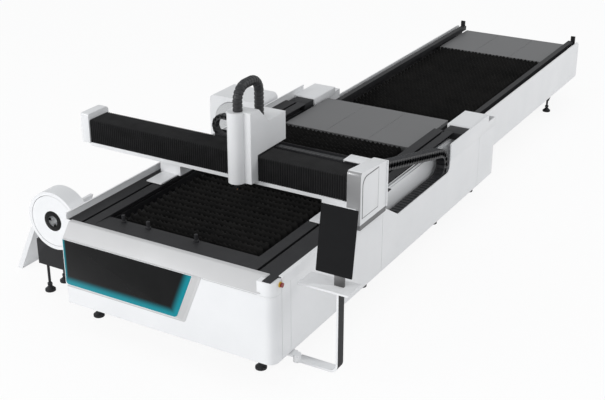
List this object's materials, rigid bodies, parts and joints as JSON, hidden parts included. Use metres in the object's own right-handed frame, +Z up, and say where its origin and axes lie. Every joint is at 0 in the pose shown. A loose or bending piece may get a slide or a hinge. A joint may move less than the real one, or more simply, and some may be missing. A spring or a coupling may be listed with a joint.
{
  "type": "fiber laser cutting machine",
  "caption": "Open gantry laser cutter for sheet and tube with bellows-covered beam, toothed slat pallets, pallet changer, tube chucks and swinging operator console.",
  "frame": {"origin": "middle of the machine's footprint, on the floor", "axes": "+X to the operator's right across the bed, +Y from the bed's front to the pallet changer's rear, +Z up"},
  "size_m": [4.099, 8.93, 2.2],
  "materials": {
    "painted_white": "fine satin powder coat",
    "dark_sheet": "matt dark coat",
    "black_steel": "matt black coat",
    "motor_black": "semi-matt",
    "pallet_steel": "grey coat, scuffed",
    "grey_plate": "smooth grey coat",
    "galvanised_sheet": "dull sheet with scale",
    "ground_steel": "ground",
    "bright_steel": "turned bright",
    "slat_steel": "plasma-cut, slag-darkened teeth",
    "dark_aluminium": "anodised",
    "copper_nozzle": "turned",
    "bellows_cloth": "pleated coated cloth",
    "chain_plastic": "moulded",
    "monitor_shell": "satin",
    "black_glass": "mirror-smooth black panel",
    "lit_diffuser": "lit frosted strip",
    "yellow_plastic": "moulded",
    "red_plastic": "moulded"
  },
  "bodies": {
    "root": {"bed_frame": "painted_white", "scrap_hopper": "galvanised_sheet", "front_panel": "painted_white", "front_window": "black_glass", "window_light_strip": "lit_diffuser", "front_fascia": "painted_white", "right_side_panel": "painted_white", "left_side_panel": "painted_white", "rail_covers": "dark_sheet", "front_sill": "dark_sheet", "end_blocks": "painted_white", "y_guide_rails": "ground_steel", "y_racks": "ground_steel", "chain_tray": "painted_white", "pallet_tracks": "black_steel", "changer_frame": "black_steel", "changer_side_panels": "painted_white", "levelling_feet": "black_steel", "chuck_base": "black_steel", "front_chuck_housing": "painted_white", "discharge_chute": "painted_white", "feed_bed": "painted_white", "console_bracket": "painted_white", "stop_button_collar": "yellow_plastic", "y_drag_chain": "chain_plastic"},
    "gantry": {"gantry_beam": "painted_white", "beam_end_cap": "painted_white", "x_guide_rails": "ground_steel", "x_rack": "ground_steel", "left_bellows": "bellows_cloth", "right_bellows": "bellows_cloth", "right_housing": "painted_white", "left_saddle": "painted_white", "right_saddle": "painted_white", "gantry_motors": "motor_black", "chain_trough": "painted_white", "x_drag_chain": "chain_plastic"},
    "head": {"carriage_plate": "dark_sheet", "head_cover": "painted_white", "head_conduit": "chain_plastic"},
    "cutter": {"cutting_head": "dark_aluminium", "nozzle": "copper_nozzle"},
    "upper_pallet": {"upper_pallet_frame": "pallet_steel", "upper_pallet_slats": "slat_steel", "upper_pallet_cover_plates": "grey_plate"},
    "lower_pallet": {"lower_pallet_frame": "pallet_steel", "lower_pallet_slats": "slat_steel", "lower_pallet_cover_plates": "grey_plate"},
    "front_rotor": {"front_chuck_rotor": "painted_white"},
    "right_jaw": {"right_jaw": "bright_steel"},
    "left_jaw": {"left_jaw": "bright_steel"},
    "upper_jaw": {"upper_jaw": "bright_steel"},
    "lower_jaw": {"lower_jaw": "bright_steel"},
    "rear_chuck": {"rear_chuck_housing": "painted_white"},
    "rear_rotor": {"rear_chuck_rotor": "ground_steel"},
    "console": {"console_arm": "painted_white", "console_tray": "painted_white"},
    "monitor": {"monitor_housing": "monitor_shell", "monitor_screen": "black_glass"},
    "stop_button": {"stop_button": "red_plastic"}
  },
  "joints": [
    {"name": "gantry_travel", "type": "slide", "parent": "root", "child": "gantry", "axis": [0, 1, 0], "range_m": [-0.72, 1.95], "deforming": ["y_drag_chain"]},
    {"name": "head_travel", "type": "slide", "parent": "gantry", "child": "head", "axis": [1, 0, 0], "range_m": [-1.48, 0.75], "deforming": ["left_bellows", "right_bellows", "x_drag_chain"]},
    {"name": "focus_travel", "type": "slide", "parent": "head", "child": "cutter", "axis": [0, 0, 1], "range_m": [-0.1, 0]},
    {"name": "upper_pallet_travel", "type": "slide", "parent": "root", "child": "upper_pallet", "axis": [0, 1, 0], "range_m": [0, 4.36]},
    {"name": "lower_pallet_travel", "type": "slide", "parent": "root", "child": "lower_pallet", "axis": [0, 1, 0], "range_m": [-4.36, 0]},
    {"name": "front_chuck_spin", "type": "hinge", "parent": "root", "child": "front_rotor", "pos_m": [-1.2175, -4.065, 0.842], "axis": [0, 1, 0], "continuous": true},
    {"name": "rear_chuck_travel", "type": "slide", "parent": "root", "child": "rear_chuck", "axis": [0, 1, 0], "range_m": [-1.2, 0.6]},
    {"name": "rear_chuck_spin", "type": "hinge", "parent": "rear_chuck", "child": "rear_rotor", "pos_m": [-1.2175, -0.865, 0.842], "axis": [0, 1, 0], "continuous": true},
    {"name": "right_jaw_travel", "type": "slide", "parent": "front_rotor", "child": "right_jaw", "axis": [1, 0, 0], "range_m": [-0.024, 0.04]},
    {"name": "left_jaw_travel", "type": "slide", "parent": "front_rotor", "child": "left_jaw", "axis": [-1, 0, 0], "range_m": [-0.024, 0.04]},
    {"name": "upper_jaw_travel", "type": "slide", "parent": "front_rotor", "child": "upper_jaw", "axis": [0, 0, 1], "range_m": [-0.024, 0.04]},
    {"name": "lower_jaw_travel", "type": "slide", "parent": "front_rotor", "child": "lower_jaw", "axis": [0, 0, -1], "range_m": [-0.024, 0.04]},
    {"name": "console_swing", "type": "hinge", "parent": "root", "child": "console", "pos_m": [1.5295, -4.165, 0.2], "axis": [0, 0, 1], "range_deg": [-90, 0]},
    {"name": "monitor_tilt", "type": "hinge", "parent": "console", "child": "monitor", "pos_m": [1.8805, -4.063, 1.118], "axis": [-1, 0, 0], "range_deg": [-15, 20]},
    {"name": "stop_button_press", "type": "slide", "parent": "root", "child": "stop_button", "axis": [-1, 0, 0], "range_m": [0, 0.006], "stiffness_N_per_m": 600}
  ],
  "couplings": [
    {"joint": "lower_pallet_travel", "follows": "upper_pallet_travel", "ratio": -1},
    {"joint": "rear_chuck_spin", "follows": "front_chuck_spin", "ratio": 1},
    {"joint": "left_jaw_travel", "follows": "right_jaw_travel", "ratio": 1},
    {"joint": "upper_jaw_travel", "follows": "right_jaw_travel", "ratio": 1},
    {"joint": "lower_jaw_travel", "follows": "right_jaw_travel", "ratio": 1}
  ]
}
